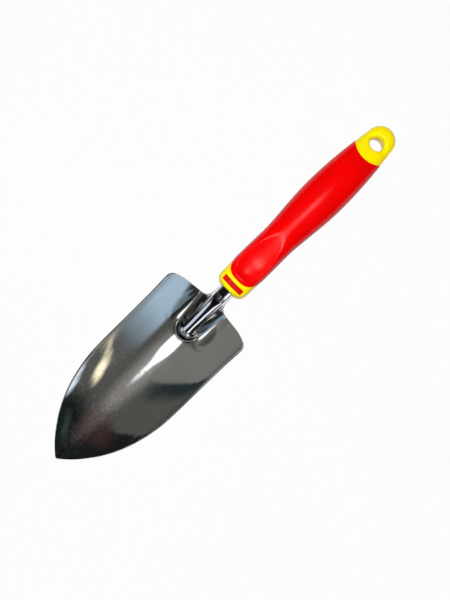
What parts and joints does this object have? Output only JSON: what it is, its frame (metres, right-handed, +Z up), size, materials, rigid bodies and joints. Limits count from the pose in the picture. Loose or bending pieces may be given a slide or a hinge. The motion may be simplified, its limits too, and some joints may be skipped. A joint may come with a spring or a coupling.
{
  "type": "hand trowel",
  "caption": "Wide-bladed hand trowel: pressed plated steel scoop with a ribbed socket neck, and a contoured soft-grip handle with a thumb rest and a hanging eye",
  "frame": {"origin": "bottom centre of the bounding box: the table the tool lies on is z = 0", "axes": "+X runs along the tool from the blade's tip towards the hanging eye, +Z is up out of the open side of the scoop, y = 0 is the plane of symmetry"},
  "size_m": [0.3504, 0.079, 0.0342],
  "materials": {
    "blade_steel": "bright plated and polished, fine wear scratches near the tip",
    "core_plastic": "hard moulded plastic, satin gloss",
    "grip_soft": "soft over-moulding, fine matte grain",
    "pin_steel": "plain drawn pin",
    "label_film": "thin plain film"
  },
  "bodies": {
    "root": {"blade": "blade_steel", "handle_core": "core_plastic", "grip": "grip_soft", "tang_pin": "pin_steel", "collar_label": "label_film"}
  },
  "joints": []
}
